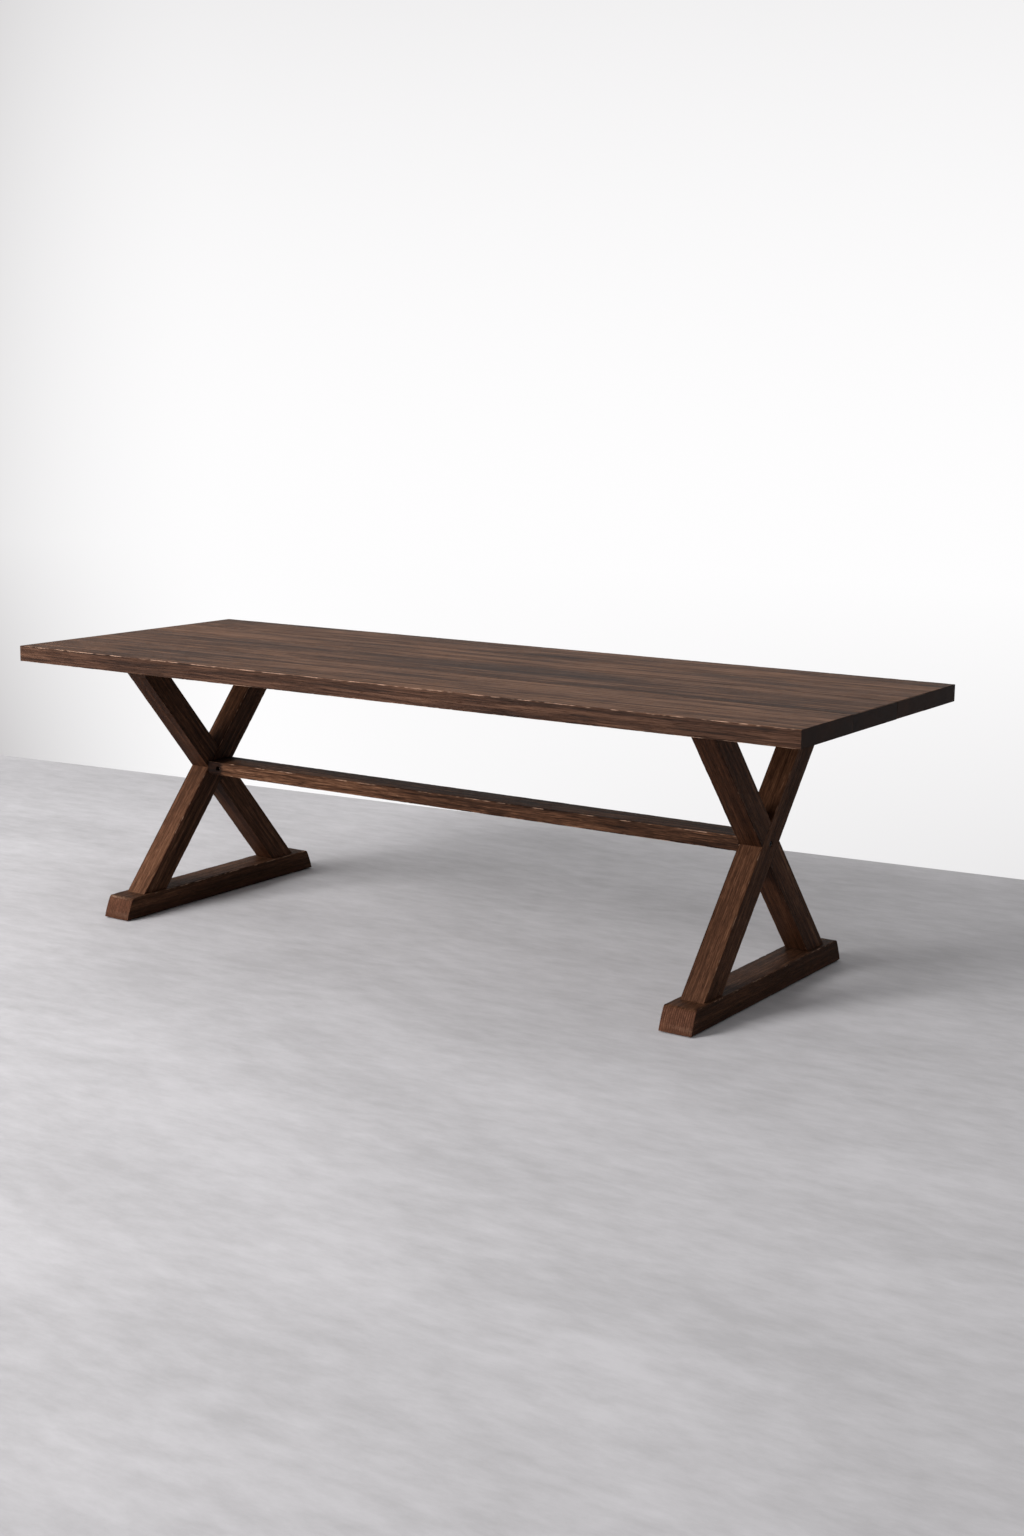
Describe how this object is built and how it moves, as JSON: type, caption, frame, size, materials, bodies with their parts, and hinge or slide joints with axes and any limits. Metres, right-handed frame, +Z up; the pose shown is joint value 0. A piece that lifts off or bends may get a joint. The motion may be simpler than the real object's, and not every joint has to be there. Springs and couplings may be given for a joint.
{
  "type": "trestle dining table",
  "caption": "Dining table with a plank top on crossed-leg trestles with raked sled feet, tied together by a flat stretcher.",
  "frame": {"origin": "on the floor under the middle of the table", "axes": "+X along the table's length, +Y across it from the near long edge to the far one, +Z up"},
  "size_m": [2.44, 0.88, 0.76],
  "materials": {
    "top_wood": "dark walnut stain under satin lacquer, worn through to lighter wood along the edges",
    "trestle_wood": "dark walnut stain under satin lacquer, open grain",
    "stretcher_wood": "dark walnut stain under satin lacquer, worn along the upper arris",
    "plain_wood": "bare wood, glued in",
    "black_steel": "black oxide",
    "zinc_steel": "zinc plated",
    "felt": "pressed felt, dark grey"
  },
  "bodies": {
    "root": {"barrel_nuts": "zinc_steel", "left_cleat": "trestle_wood", "left_foot": "trestle_wood", "left_foot_screws": "zinc_steel", "left_glide_strips": "felt", "left_inner_leg": "trestle_wood", "left_outer_leg": "trestle_wood", "left_tenon_wedges": "plain_wood", "left_top_screws": "black_steel", "right_cleat": "trestle_wood", "right_foot": "trestle_wood", "right_foot_screws": "zinc_steel", "right_glide_strips": "felt", "right_inner_leg": "trestle_wood", "right_outer_leg": "trestle_wood", "right_tenon_wedges": "plain_wood", "right_top_screws": "black_steel", "stretcher": "stretcher_wood", "stretcher_bolts": "black_steel", "stretcher_washers": "zinc_steel", "top_board_1": "top_wood", "top_board_2": "top_wood", "top_board_3": "top_wood", "top_board_4": "top_wood", "top_tongue_1": "plain_wood", "top_tongue_2": "plain_wood", "top_tongue_3": "plain_wood"}
  },
  "joints": []
}
